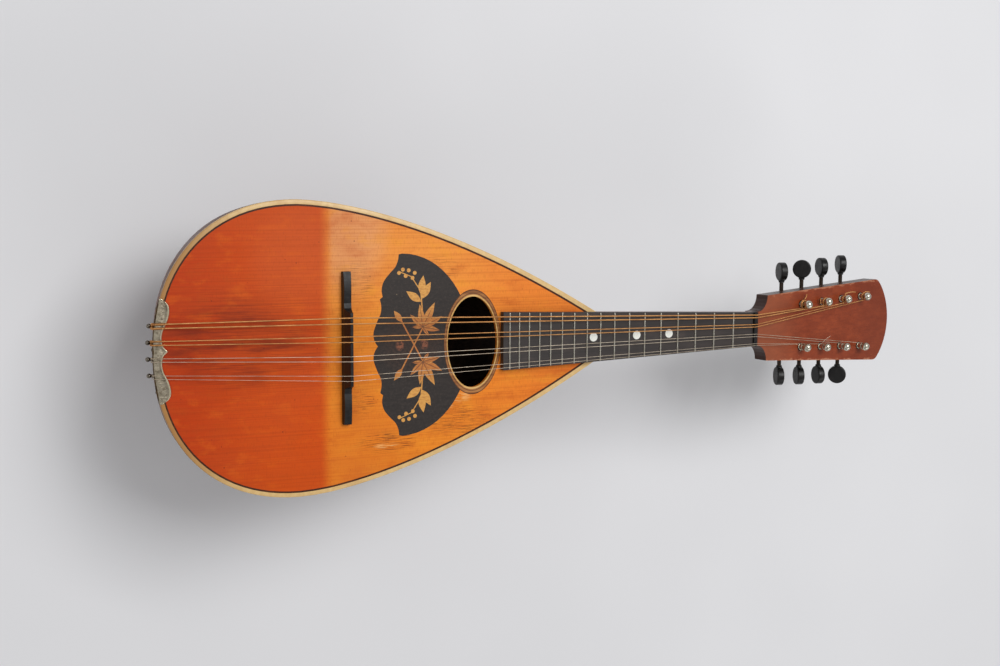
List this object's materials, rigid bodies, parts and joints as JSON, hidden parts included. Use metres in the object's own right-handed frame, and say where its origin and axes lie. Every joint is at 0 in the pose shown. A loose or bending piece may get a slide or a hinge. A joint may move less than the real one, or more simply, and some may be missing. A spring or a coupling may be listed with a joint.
{
  "type": "bowl-back mandolin",
  "caption": "Bowl-back mandolin with a canted top, oval sound hole, inlaid pickguard, floating bridge, knobbed tailpiece and geared tuners.",
  "frame": {"origin": "under the middle of the instrument's box, at the level of the bowl's lowest point", "axes": "+X along the strings toward the head, +Y toward the low G strings, +Z out of the soundboard"},
  "size_m": [0.6132, 0.2, 0.153],
  "materials": {
    "top_spruce": "aged orange varnish over spruce",
    "binding_wood": "yellowed varnish",
    "black_line": "satin",
    "rosette_wood": "satin",
    "guard_wood": "satin, dark stained",
    "inlay_wood": "satin",
    "inner_wood": "raw",
    "rib_wood": "varnished",
    "neck_wood": "varnished",
    "head_wood": "varnished, worn",
    "fretboard_wood": "oiled, worn",
    "black_wood": "satin, stained black",
    "fret_metal": "polished nickel silver",
    "pearl": "pearl",
    "tail_metal": "tarnished nickel silver",
    "dark_metal": "oxidised",
    "plate_metal": "tarnished nickel plate",
    "post_metal": "aged nickel plate",
    "shaft_metal": "oxidised steel",
    "button_black": "black, worn satin",
    "bronze_string": "wound bronze",
    "steel_string": "plain steel wire"
  },
  "bodies": {
    "instrument": {"soundboard": "top_spruce", "binding": "binding_wood", "purfling": "black_line", "rosette": "rosette_wood", "pickguard": "guard_wood", "pickguard_inlay": "inlay_wood", "soundboard_braces": "inner_wood", "rim_linings": "inner_wood", "tail_block": "inner_wood", "neck_block": "inner_wood", "end_clasp": "rib_wood", "bowl_rib_middle": "rib_wood", "bowl_ribs_pair_1": "rib_wood", "bowl_ribs_pair_2": "rib_wood", "bowl_ribs_pair_3": "rib_wood", "bowl_ribs_pair_4": "rib_wood", "bowl_ribs_pair_5": "rib_wood", "bowl_ribs_pair_6": "rib_wood", "bowl_ribs_pair_7": "rib_wood", "neck": "neck_wood", "fretboard": "fretboard_wood", "frets": "fret_metal", "position_dots": "pearl", "nut": "black_wood", "head": "head_wood", "tailpiece": "tail_metal", "tailpiece_hooks": "tail_metal", "tailpiece_nails": "dark_metal", "strings_g": "bronze_string", "strings_d": "bronze_string", "strings_a": "steel_string", "strings_e": "steel_string", "tuner_plate_bass": "plate_metal", "tuner_plate_treble": "plate_metal", "tuner_screws": "plate_metal"},
    "bridge": {"bridge": "black_wood"},
    "post_1": {"tuner_post_1": "post_metal"},
    "shaft_1": {"tuner_worm_1": "shaft_metal", "tuner_button_1": "button_black"},
    "post_2": {"tuner_post_2": "post_metal"},
    "shaft_2": {"tuner_worm_2": "shaft_metal", "tuner_button_2": "button_black"},
    "post_3": {"tuner_post_3": "post_metal"},
    "shaft_3": {"tuner_worm_3": "shaft_metal", "tuner_button_3": "button_black"},
    "post_4": {"tuner_post_4": "post_metal"},
    "shaft_4": {"tuner_worm_4": "shaft_metal", "tuner_button_4": "button_black"},
    "post_5": {"tuner_post_5": "post_metal"},
    "shaft_5": {"tuner_worm_5": "shaft_metal", "tuner_button_5": "button_black"},
    "post_6": {"tuner_post_6": "post_metal"},
    "shaft_6": {"tuner_worm_6": "shaft_metal", "tuner_button_6": "button_black"},
    "post_7": {"tuner_post_7": "post_metal"},
    "shaft_7": {"tuner_worm_7": "shaft_metal", "tuner_button_7": "button_black"},
    "post_8": {"tuner_post_8": "post_metal"},
    "shaft_8": {"tuner_worm_8": "shaft_metal", "tuner_button_8": "button_black"}
  },
  "joints": [
    {"name": "bridge_slide", "type": "slide", "parent": "instrument", "child": "bridge", "axis": [1, 0, 0], "range_m": [-0.001, 0.002]},
    {"name": "button_turn_1", "type": "hinge", "parent": "instrument", "child": "shaft_1", "pos_m": [0.19534, 0.017, 0.11969], "axis": [0, 1, 0], "continuous": true},
    {"name": "post_turn_1", "type": "hinge", "parent": "instrument", "child": "post_1", "pos_m": [0.20452, 0.017, 0.13432], "axis": [0.1736, 0, 0.9848], "continuous": true},
    {"name": "button_turn_2", "type": "hinge", "parent": "instrument", "child": "shaft_2", "pos_m": [0.218, 0.01815, 0.1157], "axis": [0, 1, 0], "continuous": true},
    {"name": "post_turn_2", "type": "hinge", "parent": "instrument", "child": "post_2", "pos_m": [0.22717, 0.01815, 0.13032], "axis": [0.1736, 0, 0.9848], "continuous": true},
    {"name": "button_turn_3", "type": "hinge", "parent": "instrument", "child": "shaft_3", "pos_m": [0.24065, 0.0193, 0.1117], "axis": [0, 1, 0], "continuous": true},
    {"name": "post_turn_3", "type": "hinge", "parent": "instrument", "child": "post_3", "pos_m": [0.24983, 0.0193, 0.12633], "axis": [0.1736, 0, 0.9848], "continuous": true},
    {"name": "button_turn_4", "type": "hinge", "parent": "instrument", "child": "shaft_4", "pos_m": [0.2633, 0.02045, 0.10771], "axis": [0, 1, 0], "continuous": true},
    {"name": "post_turn_4", "type": "hinge", "parent": "instrument", "child": "post_4", "pos_m": [0.27248, 0.02045, 0.12234], "axis": [0.1736, 0, 0.9848], "continuous": true},
    {"name": "button_turn_5", "type": "hinge", "parent": "instrument", "child": "shaft_5", "pos_m": [0.19534, -0.017, 0.11969], "axis": [0, 1, 0], "continuous": true},
    {"name": "post_turn_5", "type": "hinge", "parent": "instrument", "child": "post_5", "pos_m": [0.20452, -0.017, 0.13432], "axis": [0.1736, 0, 0.9848], "continuous": true},
    {"name": "button_turn_6", "type": "hinge", "parent": "instrument", "child": "shaft_6", "pos_m": [0.218, -0.01815, 0.1157], "axis": [0, 1, 0], "continuous": true},
    {"name": "post_turn_6", "type": "hinge", "parent": "instrument", "child": "post_6", "pos_m": [0.22717, -0.01815, 0.13032], "axis": [0.1736, 0, 0.9848], "continuous": true},
    {"name": "button_turn_7", "type": "hinge", "parent": "instrument", "child": "shaft_7", "pos_m": [0.24065, -0.0193, 0.1117], "axis": [0, 1, 0], "continuous": true},
    {"name": "post_turn_7", "type": "hinge", "parent": "instrument", "child": "post_7", "pos_m": [0.24983, -0.0193, 0.12633], "axis": [0.1736, 0, 0.9848], "continuous": true},
    {"name": "button_turn_8", "type": "hinge", "parent": "instrument", "child": "shaft_8", "pos_m": [0.2633, -0.02045, 0.10771], "axis": [0, 1, 0], "continuous": true},
    {"name": "post_turn_8", "type": "hinge", "parent": "instrument", "child": "post_8", "pos_m": [0.27248, -0.02045, 0.12234], "axis": [0.1736, 0, 0.9848], "continuous": true}
  ],
  "couplings": [
    {"joint": "post_turn_1", "follows": "button_turn_1", "ratio": 0.083333},
    {"joint": "post_turn_2", "follows": "button_turn_2", "ratio": 0.083333},
    {"joint": "post_turn_3", "follows": "button_turn_3", "ratio": 0.083333},
    {"joint": "post_turn_4", "follows": "button_turn_4", "ratio": 0.083333},
    {"joint": "post_turn_5", "follows": "button_turn_5", "ratio": -0.083333},
    {"joint": "post_turn_6", "follows": "button_turn_6", "ratio": -0.083333},
    {"joint": "post_turn_7", "follows": "button_turn_7", "ratio": -0.083333},
    {"joint": "post_turn_8", "follows": "button_turn_8", "ratio": -0.083333}
  ]
}
